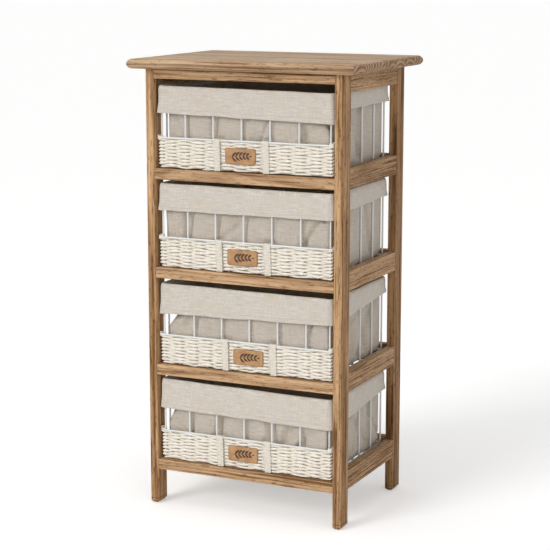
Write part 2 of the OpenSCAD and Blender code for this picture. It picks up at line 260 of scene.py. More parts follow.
def make_timber_grain():
    """Solid timber whose grain runs along X: rings round a wavering heart line, long fibres, dark
    pores and a few knots. Faces show streaks. End is 1 on sawn ends, which show the rings as arcs."""
    group, (place, heart, pale, dark, streaks, knots, end) = make_group(
        "timber grain",
        {"Vector": "Vector", "Heart": "Vector", "Pale": "Color", "Dark": "Color", "Streaks": "Float",
         "Knots": "Float", "End": "Float"},
        {"Color": "Color", "Roughness": "Float", "Height": "Float"})
    ring_pitch = 0.0046
    knot_swelling = 0.006
    heart_waver = 0.013

    from_knot = cell_distance(place, (3.1, 16.0, 16.0))
    knot_core = 1 - smooth_step(from_knot, 0.04, 0.15)
    knot_halo = 1 - smooth_step(from_knot, 0.08, 0.34)

    waver = vector_calc("SUBTRACT", stretched_noise(place, (3.0, 11.0, 11.0), out="Color"), (0.5, 0.5, 0.5))
    bent = vector_calc("MULTIPLY_ADD", waver, (0.0, heart_waver, heart_waver), place)
    across = vector_calc("MULTIPLY", vector_calc("SUBTRACT", bent, heart), (0.0, 1.0, 1.0))
    from_heart = knot_halo * (knots * knot_swelling) + vector_calc("LENGTH", across, out="Value")
    ring = calc("FRACT", from_heart / (end * ring_pitch + ring_pitch))
    late_wood = smooth_step(ring, 0.2, 0.85) * (1 - smooth_step(ring, 0.88, 1.0))

    fibre = stretched_noise(bent, (9.0, 430.0, 430.0), 3.0, 0.6)
    streak = stretched_noise(bent, (2.6, 95.0, 95.0))
    mottle = stretched_noise(bent, (6.0, 26.0, 26.0))
    hairline = stretched_noise(bent, (7.0, 260.0, 260.0), 1.0)
    pore = smooth_step(stretched_noise(bent, (75.0, 520.0, 520.0), 1.0), 0.58, 0.70)

    face_tone = late_wood * (streaks * 0.50)
    for noise, low, high, share in ((streak, 0.42, 0.68, streaks * 0.48), (fibre, 0.40, 0.64, 0.30),
                                    (hairline, 0.54, 0.68, 0.42), (mottle, 0.35, 0.75, 0.26)):
        face_tone = face_tone + smooth_step(noise, low, high) * share
    end_tone = fibre * 0.30 + (late_wood * 0.72 + 0.28)
    tone = add(group, "Clamp", {"Value": end_tone * end + face_tone * (1 - end)})
    colour = colour_mix(tone, pale, dark)
    colour = colour_mix(pore * 0.55, colour, dark, "MULTIPLY")
    colour = colour_mix((knot_core * 0.6 + knot_halo * 0.35) * knots, colour, rgb(104, 70, 42))
    feed(group.nodes.new("NodeGroupOutput"), {"Color": colour, "Roughness": fibre * 0.18 + 0.46,
                                              "Height": late_wood * 0.25 + fibre - pore})
    return group


timber_grain = make_timber_grain()
post_wood = (rgb(214, 174, 131), rgb(114, 79, 48))
# The back posts' wood is darker: painted shade for the shadow that the front of the cabinet casts on them.
back_post_painted_shade_wood = (rgb(186, 148, 108), rgb(92, 60, 35))
rail_wood = (rgb(212, 177, 139), rgb(118, 81, 48))
grain_turns = {"X": (0, 0, 0), "Y": (0, 0, -math.pi / 2), "Z": (0, math.pi / 2, 0)}
timber_draw = np.random.default_rng(31)


def timber(tree, **inputs):
    """The colour, roughness and height of timber with the given inputs."""
    return add(tree, "Group", inputs, ("Color", "Roughness", "Height"), node_tree=timber_grain)


def stick_look(tree, node, grain, streaks, wood, marks):
    """The oiled wood of one stick, its rings turned and shifted by a seeded draw. marks darkens it."""
    place = object_place(tree)
    shift = timber_draw.uniform(-4, 4, 3)
    turned = add(tree, "Mapping", {"Vector": place, "Location": shift, "Rotation": grain_turns[grain]})
    low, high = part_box(node)
    middle = (low + high) / 2
    middle.rotate(mathutils.Euler(grain_turns[grain]))
    ring_angle = timber_draw.uniform(0, 2 * math.pi)
    ring_reach = timber_draw.uniform(0.035, 0.08)
    heart = np.array(middle) + shift + ring_reach * np.array([0, math.cos(ring_angle), math.sin(ring_angle)])
    pale, dark = wood
    colour, roughness, height = timber(tree, Vector=turned, Heart=heart, Pale=pale, Dark=dark,
                                       Streaks=streaks, Knots=0.5)
    if marks:
        colour = colour_mix(marks(place), colour, rgb(84, 53, 29))
    return {"Base Color": colour, "Roughness": roughness, "Specular IOR Level": 0.05,
            "Normal": bump_normal(height, 0.00025, 0.7)}


def paint_node(node, material):
    """Gives a CAD node its material."""
    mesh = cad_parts[node].data
    mesh.materials.clear()
    mesh.materials.append(material)


def paint_stick(node, grain, streaks=0.6, wood=rail_wood, marks=None):
    """Gives a stick its own wood, with the grain along the given axis."""
    paint_node(node, make_material("timber_" + node, stick_look, node, grain, streaks, wood, marks))


foot_line_height = 0.0085
apron_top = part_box("front_apron")[1].z
rail_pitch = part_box("front_rail_1")[0].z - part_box("front_rail_2")[0].z
lowest_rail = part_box("right_rail_4")[0].z
rail_line_height = 0.0135


def foot_marks(place):
    """A fine dark line round each post, a little above its foot."""
    return thin_line(axes(place)[2], foot_line_height, 0.0004) * 0.75


def apron_joint_and_painted_shade(place):
    """The dark line of the joint under the top board, widened with painted shade where the board's overhang
    shades the apron's top.
    """
    return smooth_step(axes(place)[2], apron_top - 0.0030, apron_top - 0.0008) * 0.75


def side_rail_marks(place):
    """A wavering dark line along the grain, a little under the middle of each side rail, and rough spots."""
    over_rail = calc("MODULO", axes(place)[2] - lowest_rail, rail_pitch)
    wavering_line_height = (stretched_noise(place, 14.0) - 0.5) * 0.006 + rail_line_height
    unbroken = smooth_step(stretched_noise(place, 30.0, 1.0), 0.25, 0.45)
    wavering_line = thin_line(over_rail, wavering_line_height, 0.0006) * unbroken
    rough = smooth_step(stretched_noise(place, (300.0, 170.0, 420.0), 3.0, 0.7), 0.47, 0.66)
    return rough * 0.42 + wavering_line * 0.58


levels = range(1, 5)


def at_levels(*names):
    """The nodes of these names at each level."""
    return [f"{name}_{k}" for name in names for k in levels]


for node, streaks, wood in (("front_left_post", 0.60, post_wood),
                            ("front_right_post", 0.70, post_wood),
                            ("back_left_post", 0.75, back_post_painted_shade_wood),
                            ("back_right_post", 0.75, back_post_painted_shade_wood)):
    paint_stick(node, "Z", streaks, wood, foot_marks)
for node in ("front_apron", "back_apron"):
    paint_stick(node, "X", marks=apron_joint_and_painted_shade)
for node in at_levels("front_rail", "back_rail"):
    paint_stick(node, "X")
for node in ("left_apron", "right_apron", *at_levels("left_rail", "right_rail")):
    paint_stick(node, "Y", 0.45, marks=side_rail_marks)
for node in at_levels("left_runner", "right_runner"):
    paint_stick(node, "Y")


# Top board
# Seven staves of the same wood glued edge to edge, planed and rounded over on all four sides. Four
# screws hold it from below through the front and back aprons. The CAD solid stays.
board_low, board_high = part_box("top_board")
stave_count = 7
stave_width = (board_high.y - board_low.y) / stave_count
board_middle_z = (board_high.z + board_low.z) / 2


def top_board_look(tree):
    """Staves side by side across Y. Each shifts the grain, turns its rings and has its own tone."""
    x, y, z = axes(object_place(tree))
    staves = (y - board_low.y) / stave_width
    within = (calc("FRACT", staves) - 0.5) * stave_width
    draws, tone_draw = add(tree, "TexWhiteNoise", {"W": calc("FLOOR", staves) + 0.37}, ("Color", "Value"),
                           noise_dimensions="1D")
    along_draw, side_draw, depth_draw = add(tree, "SeparateColor", {0: draws}, (0, 1, 2))
    vector = add(tree, "CombineXYZ", {0: along_draw * 9.0 + x, 1: within, 2: z - board_middle_z})
    heart = add(tree, "CombineXYZ", {1: (side_draw - 0.5) * 0.09, 2: depth_draw * -0.035 - 0.012})
    facing_x = axes(add(tree, "TexCoord", outs=("Normal",)))[0]
    sawn_end = smooth_step(calc("ABSOLUTE", facing_x), 0.45, 0.70)
    colour, roughness, height = timber(tree, Vector=vector, Heart=heart, Pale=rgb(210, 182, 148),
                                       Dark=rgb(132, 96, 64), Streaks=0.55, Knots=0.15, End=sawn_end)
    colour = add(tree, "HueSaturation", {"Value": tone_draw * 0.16 + 0.90, "Color": colour})
    joint = smooth_step(calc("ABSOLUTE", within), stave_width / 2 - 0.0006, stave_width / 2 - 0.0001)
    return {"Base Color": colour_mix(joint * 0.45, colour, rgb(96, 66, 42)), "Roughness": roughness,
            "Normal": bump_normal(height, 0.0002, 0.6), "Specular IOR Level": 0.12}


paint_node("top_board", make_material("timber_top_board", top_board_look))


# Dowels and screws
# Fluted beech dowels glued into the posts and rails, and zinc plated countersunk screws in the
# aprons and runners. All of them are inside the wood or face down, and the CAD solids stay.
def beech_look(tree):
    """Pale beech with short flecks."""
    fleck = stretched_noise(object_place(tree), 260.0, 3.0)
    return {"Base Color": colour_mix(fleck, rgb(222, 194, 152), rgb(190, 152, 110)), "Roughness": 0.6,
            "Normal": bump_normal(fleck, 0.0002, 0.5)}


def zinc_look(tree):
    """Zinc plate with a fine uneven sheen."""
    cloud = stretched_noise(object_place(tree), 700.0)
    return {"Base Color": colour_mix(cloud, rgb(205, 207, 211), rgb(160, 163, 168)),
            "Roughness": cloud * 0.25 + 0.22, "Metallic": 1.0}


paint_node("frame_dowels", make_material("beech_dowels", beech_look))
zinc_plate = make_material("zinc_plate", zinc_look)
for node in ("top_screws", "runner_screws"):
    paint_node(node, zinc_plate)


# Wire baskets
# 3 mm steel wires and a 4 mm rim, bent, spot welded where they cross and powder coated white. The
# CAD solids stay, and each basket slides on its runners as one body with what it carries.
rim_radius = 0.002
half_band = 0.0035
corner_bend = 0.006
corner_wire_in = corner_bend * (1 - math.sqrt(0.5))
strap_beside_wire = 0.0078


def powder_coat_look(tree):
    """White powder coat: satin, with a faint orange peel and slightly greyer patches."""
    place = object_place(tree)
    peel = stretched_noise(place, 900.0)
    cloud = stretched_noise(place, 22.0)
    return {"Base Color": colour_mix(cloud, rgb(232, 234, 234), rgb(212, 214, 214)),
            "Roughness": peel * 0.16 + 0.30, "Normal": bump_normal(peel, 0.00008, 0.6)}


def basket_sizes(k):
    """Planes of one basket: its base, the middles of its side, front, back and rim wires, of its
    corner wires and inner front wires, and of its straps."""
    wires_low, wires_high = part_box(f"basket_frame_{k}")
    strap_low, strap_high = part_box(f"straps_{k}")
    side = wires_high.x - rim_radius
    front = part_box(f"wicker_band_{k}")[0].y + half_band
    shift = (strap_low.x + strap_high.x) / 2
    return SimpleNamespace(
        base=wires_low.z, side=side, front=front,
        back=wires_high.y - rim_radius, rim=wires_high.z - rim_radius,
        corner_x=side - corner_wire_in, corner_y=front + corner_wire_in,
        inner_wires=[side * (wire / 3 - 1) + shift for wire in range(1, 6)],
        straps=[shift + sign * (side / 3 - strap_beside_wire) for sign in (-1, 1)])


powder_coat = make_material("white_powder_coat", powder_coat_look)
for node in at_levels("basket_frame"):
    paint_node(node, powder_coat)
baskets = {k: basket_sizes(k) for k in levels}


# Linen liners
# Each is a bag of natural linen sewn to the basket's shape. It hangs a little inside the wires, goes
# over the rim and hangs down outside as a hemmed cuff. Nothing else holds it.
linen_thickness = 0.0012
loop_counts = (128, 88, 9)
floor_rise = 0.0064
wall_foot = 0.0035
lean_height = 0.010
wall_inset = 0.0036
low_inset = 0.0068
low_inset_fade = (0.0105, 0.0190)
behind_band = 0.0012
behind_band_fade = (0.050, 0.054)
behind_strap = 0.0040
behind_strap_fade = (0.0545, 0.0610)
bag_bend = 0.011
over_rim = 0.00305
cuff_depth = 0.046
fold_count = 34
fold_slope = 0.55
fold_widths = (0.0035, 0.0100)
fold_depths = (-0.0012, 0.0075)
wire_crease_off = (0.003, 0.007)
wire_crease_width = 0.0028
wire_crease_depths = (0.0020, 0.0050)
wire_crease_slope = 0.12
wire_crease_pivot = 0.075
side_creases = (-1, -1, -1, 1, 1, 1, 1)
side_crease_span = (-0.085, 0.080)
side_crease_widths = (0.0055, 0.0115)
side_crease_depths = (0.0045, 0.0100)
side_crease_slope = 0.45
side_crease_pivot = 0.060
push_limits = (-0.0012, 0.0120)
push_over_floor = (0.002, 0.020)
push_under_rim = (0.008, 0.030)
strap_dent_half_width = 0.012
wall_wander = 0.0016
wall_slack = 0.0006
fallen_corner_reach = 0.030
fall_heights = (0.063, 0.088)
fall_back_share = 0.7
ruck_height = 0.0011
foot_wave_height = 0.0045
foot_wave_fade = 0.012
lift_wander = 0.0006
cuff_edge_wander = 0.0012
cuff_rise_places = (0.02, 0.27, 1)
cuff_flare = 0.0006
cuff_flare_wander = 0.0009
cuff_ripple = 0.0006
cuff_corner_flare = 0.0018
cuff_corner_reach = (0.010, 0.012)
cuff_groove = 0.0011
cuff_step = 0.0006
thread_pitch = 0.0009
stitch_pitch = 0.0036
stitches_over_hem = 0.008

# For each basket: how far the loose cloth stands over the rim at the left and right, how high the
# cuff's lower edge is above the base at its left and right front corners, how much higher it is a
# quarter of the way back and at the back, how far the bag's front corners fall inwards just under
# the cuff and 25 mm lower, left and then right, and how far left of the right front corner the cuff's
# crease starts.
liner_lifts = {1: (0.0032, 0.0), 2: (0.0080, 0.0072), 3: (0.0053, 0.0033), 4: (0.0072, 0.0028)}
cuff_bottoms = {1: (0.0905, 0.0840), 2: (0.0952, 0.0970), 3: (0.0862, 0.0925), 4: (0.0895, 0.0845)}
cuff_rises = {1: (0.0197, 0.0197), 2: (0.0083, 0.0133), 3: (0.0040, 0.0167), 4: (0.0060, 0.0200)}
corner_falls = {1: ((0.006, 0.006), (0.009, 0.0)), 2: ((0.001, 0.003), (0.0, 0.0)),
                3: ((0.020, 0.003), (0.002, 0.0)), 4: ((0.012, 0.002), (0.0, 0.0))}
cuff_creases = {1: 0.0120, 2: 0.0030, 3: 0.0020, 4: 0.0040}

# Grid rows of a liner, from the middle of its floor outwards, up and over
row_counts = {"floor": 12, "foot": 5, "wall": 41, "lean": 6, "turn": 9, "cuff": 25}
row_ends = dict(zip(row_counts, np.cumsum(list(row_counts.values())).tolist()))
rows = {part: slice(end - row_counts[part], end) for part, end in row_ends.items()}
bag_rows = slice(0, row_ends["lean"])
middle_row = 40


def steps(start, end, part):
    """A column of even steps up to the end, one for each grid row of a part."""
    return np.linspace(start, end, row_counts[part] + 1)[1:, None]


def ease(value, low, high):
    """0 at low, 1 at high, 3t^2 - 2t^3 between them."""
    t = np.clip((value - low) / (high - low), 0, 1)
    return t * t * (3 - 2 * t)


def ridge(off, width, power=2):
    """1 on a line and next to nothing well beside it: exp(-(off / width)^power)."""
    return np.exp(-((off / width) ** power))


def wander(t, draw, waves, reach):
    """A smooth seeded line over t: the sum of six sines of about so many waves, no higher than reach."""
    counts = waves * draw.uniform(0.4, 1.6, 6)
    phases = draw.uniform(0, 2 * math.pi, 6)
    heights = draw.uniform(0.3, 1.0, 6)
    total = np.sin(2 * math.pi * counts * t[..., None] + phases) @ heights
    return reach * total / heights.sum()


def path_length(path):
    """How far along a path each of its points is."""
    return np.concatenate([[0], np.cumsum(np.linalg.norm(np.diff(path, axis=0), axis=1))])


def plan_loop(long_count, short_count, corner_count):
    """A rounded rectangle taken anticlockwise from the middle of its back. share_x and share_y place
    a point on the inner rectangle of the corners' centres, and (out_x, out_y) points outwards."""
    stops = np.array([(0, 1), (-1, 1), (-1, -1), (1, -1), (1, 1), (0, 1)])
    counts = (long_count // 2, short_count, long_count, short_count, long_count // 2)
    quarter = math.pi / 2
    shares, headings = [], []
    for side, count in enumerate(counts):
        along = np.arange(count)[:, None] / count
        shares += [stops[side] + along * (stops[side + 1] - stops[side])]
        shares += [np.tile(stops[side + 1], (corner_count, 1))]
        headings += [np.full(count, (side + 1) * quarter)]
        headings += [(side + 1) * quarter + np.arange(corner_count) / corner_count * quarter]
    share_x, share_y = np.concatenate(shares[:-1]).T
    heading = np.concatenate(headings[:-1])
    return share_x, share_y, np.cos(heading), np.sin(heading)


def quad_corners(grid):
    """What a grid holds at the four corners of each of its quads."""
    corners = np.stack([grid[:-1, :-1], grid[:-1, 1:], grid[1:, 1:], grid[1:, :-1]], axis=2)
    return corners.reshape(-1, 4, *grid.shape[2:])


def grid_quads(row_count, columns, close_rows=False, close_columns=False, first=0):
    """Quads between neighbours of a grid numbered row by row. A closed direction meets its start."""
    numbers = first + np.arange(row_count * columns).reshape(row_count, columns)
    return quad_corners(np.pad(numbers, ((0, int(close_rows)), (0, int(close_columns))), mode="wrap"))


def grid_corners(row_marks, column_marks):
    """The UV corners of the same quads, from one value at each grid line, the closing ones too."""
    return quad_corners(np.stack(np.meshgrid(column_marks, row_marks), axis=-1))


def fan_faces(pole, first, columns):
    """Triangles from a pole's point round the ring of points that starts at first."""
    ring = np.arange(columns)
    return np.stack([np.full(columns, pole), first + (ring + 1) % columns, first + ring], axis=-1)


def make_piece(name, points, faces, material, corners=None):
    """One smooth mesh object at the origin, from blocks of like faces, with UVs in the same order."""
    mesh = bpy.data.meshes.new(name)
    mesh.from_pydata(points.reshape(-1, 3).tolist(), [], [face for block in faces for face in block.tolist()])
    if corners is not None:
        layer = mesh.uv_layers.new(name="cut")
        layer.data.foreach_set("uv", np.concatenate([np.ravel(c) for c in corners]).astype(np.float32))
    mesh.polygons.foreach_set("use_smooth", np.ones(len(mesh.polygons), bool))
    mesh.materials.append(material)
    mesh.update()
    return put(name, mesh)


def make_woven_threads():
    """Plain weave over UVs in metres: Height of threads Pitch apart, and Slub, the thick and thin
    places that run on along single threads both ways."""
    group, (cloth, pitch) = make_group("woven threads", {"Vector": "Vector", "Pitch": "Float"},
                                       {"Height": "Float", "Slub": "Float"})
    x, y, _ = axes(cloth)
    half_turn = calc("DIVIDE", math.pi, pitch)
    crossing = calc("SINE", x * half_turn) * calc("SINE", y * half_turn)
    warp_slub = stretched_noise(cloth, (620.0, 55.0, 1.0))
    weft_slub = stretched_noise(cloth, (55.0, 620.0, 1.0))
    slub = weft_slub * 0.68 + warp_slub * 0.32
    feed(group.nodes.new("NodeGroupOutput"), {"Height": slub * 1.2 + crossing * 0.5, "Slub": slub})
    return group


woven_threads = make_woven_threads()


def threads(cloth, pitch):
    """The height and the slub of threads woven so far apart."""
    return add(cloth.tree, "Group", {"Vector": cloth, "Pitch": pitch}, ("Height", "Slub"),
               node_tree=woven_threads)


def linen_look(tree, cuff_end, wall_end):
    """Natural linen: slubs, faint cloudy staining, fine wrinkles and the hem's line of stitches. The wall is
    one layer with the dark inside behind it, and up to wall_end it gets painted shade, a little darker, for
    that dark inside and the cuff's shadow."""
    cloth = add(tree, "UVMap", uv_map="cut")
    x, y, _ = axes(cloth)
    thread_height, slub = threads(cloth, thread_pitch)
    cloud = stretched_noise(cloth, (38.0, 38.0, 1.0), 4.0, 0.6)
    fleck = stretched_noise(cloth, (420.0, 420.0, 1.0), 3.0, 0.6)
    wrinkle = stretched_noise(cloth, (90.0, 60.0, 1.0), 3.0, 0.6)
    single_layer_and_painted_shade = 1 - smooth_step(y, wall_end - 0.012, wall_end)
    stitch_gap = smooth_step(calc("ABSOLUTE", calc("FRACT", x / stitch_pitch) - 0.5), 0.3, 0.36)
    stitch_row = thin_line(y, cuff_end - stitches_over_hem, 0.0003)
    colour = colour_mix(smooth_step(slub, 0.38, 0.64), rgb(217, 212, 206), rgb(193, 187, 179))
    colour = colour_mix(smooth_step(fleck, 0.40, 0.70), colour, rgb(201, 191, 177))
    colour = colour_mix(smooth_step(cloud, 0.45, 0.8), colour, rgb(203, 192, 176))
    # Painted shade: the one-layer wall up to wall_end is darkened for the cuff's shadow and the dark inside
    # behind it.
    colour = colour_mix(single_layer_and_painted_shade * 0.36, colour, rgb(205, 195, 184), "MULTIPLY")
    colour = colour_mix(stitch_row * 0.25, colour, rgb(150, 138, 122))
    height = thread_height * 0.20 + wrinkle * (single_layer_and_painted_shade * 2.6 + 1.7)
    height = height - stitch_row + stitch_row * (1 - stitch_gap) * 0.8
    return {"Base Color": colour, "Roughness": 0.85, "Normal": bump_normal(height, 0.0005, 0.55),
            "Subsurface Weight": 0.6, "Subsurface Radius": (1.0, 0.92, 0.80), "Subsurface Scale": 0.0022,
            "Sheen Weight": 0.15, "Sheen Roughness": 0.6, "Specular IOR Level": 0.2}


def liner_section(basket):
    """A liner's section in grid rows: each row's height, its size as a share of the plan, and its
    inset from the side wires' middles. The foot and the turn over the rim are arcs, and the wall
    leans out to the rim as 3t^2 - 2t^3. The cuff's rows get their heights later."""
    floor_z = basket.base + floor_rise
    bend = steps(0, math.pi / 2, "foot")
    lean = steps(0, 1, "lean")
    turn = steps(math.pi, 0, "turn")
    height = np.concatenate([np.full((row_counts["floor"], 1), floor_z),
                             floor_z + wall_foot * (1 - np.cos(bend)),
                             steps(floor_z + wall_foot, basket.rim - lean_height, "wall"),
                             basket.rim - lean_height * (1 - lean),
                             basket.rim + over_rim * np.sin(turn),
                             np.full((row_counts["cuff"], 1), basket.rim)])
    size = np.ones_like(height)
    size[rows["floor"]] = steps(0, 1, "floor")
    low_part = 1 - ease(height - basket.base, *low_inset_fade)
    inset = wall_inset + (low_inset - wall_inset) * low_part
    inset[rows["floor"]] += wall_foot
    inset[rows["foot"]] += wall_foot * (1 - np.sin(bend))
    inset[rows["lean"]] += (over_rim - wall_inset) * ease(lean, 0, 1)
    inset[rows["turn"]] = -over_rim * np.cos(turn)
    inset[rows["cuff"]] = -over_rim
    return height, size, inset


def wall_folds(basket, draw, x, y, z, out_x, out_y, s, girth):
    """How far each point of the wall is pushed in: the sum of ridges beside lines that lean with
    height. Folds stand anywhere round the bag, narrow creases right of the inner front wires, and
    wide ones on the sides. A slow wander goes on top of them."""
    floor_z = basket.base + floor_rise
    at_front = np.clip(-out_y, 0, 1)
    push = np.zeros_like(x)
    for _ in range(fold_count):
        middle = draw.uniform(0, girth)
        slope = draw.normal(0, fold_slope)
        width = draw.uniform(*fold_widths)
        depth = draw.uniform(*fold_depths)
        lowest, highest = np.sort(draw.uniform(floor_z - 0.03, basket.rim, 2))
        off = (s - middle - slope * (z - floor_z) + girth / 2) % girth - girth / 2
        fade = ease(z, lowest - 0.01, lowest + 0.01) * (1 - ease(z, highest, highest + 0.03))
        push += depth * ridge(off, width) * fade
    for wire_x in basket.inner_wires:
        beside = wire_x + draw.uniform(*wire_crease_off)
        off = x - beside - draw.normal(0, wire_crease_slope) * (z - basket.base - wire_crease_pivot)
        push += draw.uniform(*wire_crease_depths) * ridge(off, wire_crease_width) * at_front
    for side in side_creases:
        middle = draw.uniform(*side_crease_span)
        off = y - middle - draw.normal(0, side_crease_slope) * (z - basket.base - side_crease_pivot)
        width = draw.uniform(*side_crease_widths)
        push += draw.uniform(*side_crease_depths) * ridge(off, width) * np.clip(side * out_x, 0, 1)
    push += wander(s / girth, draw, 7, wall_wander) + wall_slack
    return np.clip(push, *push_limits)


def liner_surface(k):
    """Grid of one liner. A row is the plan's rounded rectangle at the row's inset and share of size.
    The wall is pushed in by its folds, by a dent behind each strap and at its fallen front corners.
    The floor is rucked, and the walls' foot rises in waves beside it. The cloth lies loose over the
    rim, and the cuff hangs to a slanting, wandering edge with a crease at its right front corner."""
    basket = baskets[k]
    draw = np.random.default_rng(70 + k)
    share_x, share_y, out_x, out_y = plan_loop(*loop_counts)
    at_front = np.clip(-out_y, 0, 1)
    height, size, section_inset = liner_section(basket)
    base = basket.base
    floor_z = base + floor_rise
    inset = section_inset + behind_band * at_front * (1 - ease(height - base, *behind_band_fade))
    corner = np.where(inset < 0, corner_bend - inset,
                      corner_bend + (bag_bend - corner_bend) * ease(inset, 0, wall_inset))
    half_y = (basket.back - basket.front) / 2 - inset
    x = size * (share_x * (basket.side - inset - corner) + out_x * corner)
    y = size * (share_y * (half_y - corner) + out_y * corner)
    z = np.repeat(height, len(out_x), axis=1)

    loop = np.stack([x[middle_row], y[middle_row]], -1)
    round_it = path_length(np.concatenate([loop, loop[:1]]))
    girth = round_it[-1]
    s = round_it[:-1]

    on_wall = ease(height - floor_z, *push_over_floor) * ease(basket.rim - height, *push_under_rim)
    push = wall_folds(basket, draw, x, y, z, out_x, out_y, s, girth) * on_wall
    for strap_x in basket.straps:
        dent = behind_strap * ridge(x - strap_x, strap_dent_half_width, 4) * at_front
        push = np.maximum(push, dent * (1 - ease(z - base, *behind_strap_fade)) * (height > floor_z))
    x -= out_x * push
    y -= out_y * push
    for side, (under_cuff, lower) in zip((-1, 1), corner_falls[k]):
        fall = np.interp(z - base, fall_heights, (lower, under_cuff)) * on_wall
        from_corner = np.hypot(x - side * basket.side, y + half_y[middle_row].max())
        fall = fall * ridge(from_corner, fallen_corner_reach)
        x -= side * fall
        y += fall_back_share * fall

    ruck = ruck_height * np.sin(x * 95 + y * 40 + 2 * k) * np.sin(y * 120 - x * 33 + k)
    z += np.abs(ruck) * (1 - size**6)
    foot_wave = np.clip(wander(s / girth, draw, 12, foot_wave_height), 0, None) * np.abs(out_x)
    z[bag_rows] += (foot_wave * size**9 * np.exp(-(height - floor_z) / foot_wave_fade))[bag_rows]

    from_left = np.clip((x[-1] / basket.side + 1) / 2, 0, 1)
    from_front = np.clip((y[-1] / half_y[-1] + 1) / 2, 0, 1)
    lift = np.interp(from_left, [0, 1], liner_lifts[k]) + wander(s / girth, draw, 9, lift_wander)
    z[rows["turn"]] += np.clip(lift, 0, None) * np.sin(steps(math.pi, 0, "turn"))
    bottom = base + np.interp(from_left, [0, 1], cuff_bottoms[k])
    bottom = bottom + np.interp(from_front, cuff_rise_places, (0, *cuff_rises[k]))
    bottom = bottom + wander(s / girth, draw, 14, cuff_edge_wander)
    drop = steps(0, 1, "cuff")
    cuff = rows["cuff"]
    z[cuff] = basket.rim + drop * (bottom - basket.rim)
    flare = ease(drop, 0.25, 1.0) * (cuff_flare + wander(s / girth, draw, 9, cuff_flare_wander))
    ripple = wander(s / girth, draw, 16, cuff_ripple) * ease(drop, 0.1, 0.6)
    at_corner = ridge(np.minimum(np.abs(np.abs(x[-1]) - basket.side), 0.03), cuff_corner_reach[0])
    at_corner = at_corner * ridge(np.abs(y[-1]) - half_y[-1], cuff_corner_reach[1])
    hang = flare + cuff_corner_flare * at_corner * ease(drop, 0.5, 1.0) + ripple
    x[cuff] += out_x * hang
    y[cuff] += out_y * hang
    off = x[cuff] - (basket.side - 0.002 - cuff_creases[k] * (1 - drop))
    groove = cuff_groove * ridge(off, 0.0020) + cuff_step * ease(off, 0.0, 0.0025)
    y[cuff] += groove * at_front * ease(drop, 0.08, 0.25)

    up = path_length(np.concatenate([section_inset * size, height], axis=1))
    up[cuff] = up[rows["turn"]][-1] + drop[:, 0] * cuff_depth
    middle_y = (basket.back + basket.front) / 2
    pole = np.array([[0, middle_y, floor_z]])
    points = np.concatenate([pole, np.stack([x, y + middle_y, z], -1).reshape(-1, 3)])
    return points, up, round_it


def make_liner(k, material):
    """Faces over the grid: a fan at the floor's middle and quads everywhere else, made 1.2 mm thick."""
    points, up, round_it = liner_surface(k)
    columns = len(round_it) - 1
    faces = [fan_faces(0, 1, columns), grid_quads(len(up), columns, close_columns=True, first=1)]
    at_pole = np.zeros(columns)
    at_ring = np.full(columns, 0.01)
    fan_corners = np.stack([round_it[:-1], at_pole, round_it[1:], at_ring, round_it[:-1], at_ring], -1)
    corners = [fan_corners, grid_corners(up, round_it)]
    liner = make_piece(f"linen_liner_{k}", points, faces, material, corners)
    wall = liner.modifiers.new("cloth thickness", "SOLIDIFY")
    wall.thickness = linen_thickness
    wall.offset = 0
    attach(liner, f"drawer_{k}")
    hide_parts(f"liner_{k}")


liner_marks = liner_surface(1)[1]
natural_linen = make_material("natural_linen", linen_look, liner_marks[-1], liner_marks[row_ends["lean"]])
for k in levels:
    make_liner(k, natural_linen)


# Woven front bands
# One long two-ply paper rope goes to and fro in seventeen rows, over and under the front wires and
# thin stakes between them, beaten down so tight that it spreads over each of them. It turns round the
# corner wires, and a few turns round each of them lock its ends.
rope_rows = 17
rope_thin = 0.00105
rope_thick = 0.00170
rope_swing = 0.00245
turn_swing = 0.0027
turn_half_height = 0.55
row_half_height = 0.54
stake_spread = 0.36
edge_row_spread = 0.03
spread_wander = 0.09
band_foot = 0.0017
band_head = 0.0487
row_step = (band_head - band_foot) / rope_rows
wander_span = 0.3
row_wander = 0.00085
swing_wander = 0.00022
stake_gaps = 12
stake_shift = 0.0030
stake_radius = 0.0011
coil_radius = 0.0041
coil_foot = 0.0478
coil_heads = (0.0535, 0.0560)
coil_turns = (2.2, 3.4)
coil_lean = 0.0008
coil_off = 0.0006
rope_twist = 0.0075


def carry(path, across, out, profile_across, profile_out):
    """A profile carried along a path: point + across * profile_across + out * profile_out, for each
    point of the path and each point of the profile. A direction or profile may change on the way."""
    beside = np.atleast_2d(across)[:, None] * np.atleast_2d(profile_across)[..., None]
    outwards = np.atleast_2d(out)[:, None] * np.atleast_2d(profile_out)[..., None]
    return path[:, None] + beside + outwards


def unit(vectors):
    """The same directions, one long."""
    return vectors / np.linalg.norm(vectors, axis=-1, keepdims=True)


def circle_angles(count):
    """Even angles round a circle, from 0."""
    return np.arange(count) / count * 2 * math.pi


def rope_tube(path, half_height, half_thickness):
    """A closed oval tube along an open path that runs mostly level, rounded off at its ends."""
    ahead = unit(np.gradient(path, axis=0))
    side = unit(np.cross((0.0, 0.0, 1.0), ahead))
    above = np.cross(ahead, side)
    angle = circle_angles(10)
    from_start = np.arange(len(path))
    taper = np.sqrt(np.clip(np.minimum(from_start, from_start[::-1]) / 3, 0.05, 1))[:, None]
    return carry(path, above, side, half_height * taper * np.sin(angle),
                 half_thickness * taper * np.cos(angle))


def stake_tube(x, y, low, high):
    """A round closed tube that stands between two heights, with a trace of slope."""
    t = np.linspace(0, 1, 12)
    path = np.stack([x + 0.0004 * t, np.full_like(t, y), low + (high - low) * t], -1)
    angle = circle_angles(8)
    return carry(path, (1, 0, 0), (0, 1, 0), stake_radius * np.cos(angle), stake_radius * np.sin(angle))


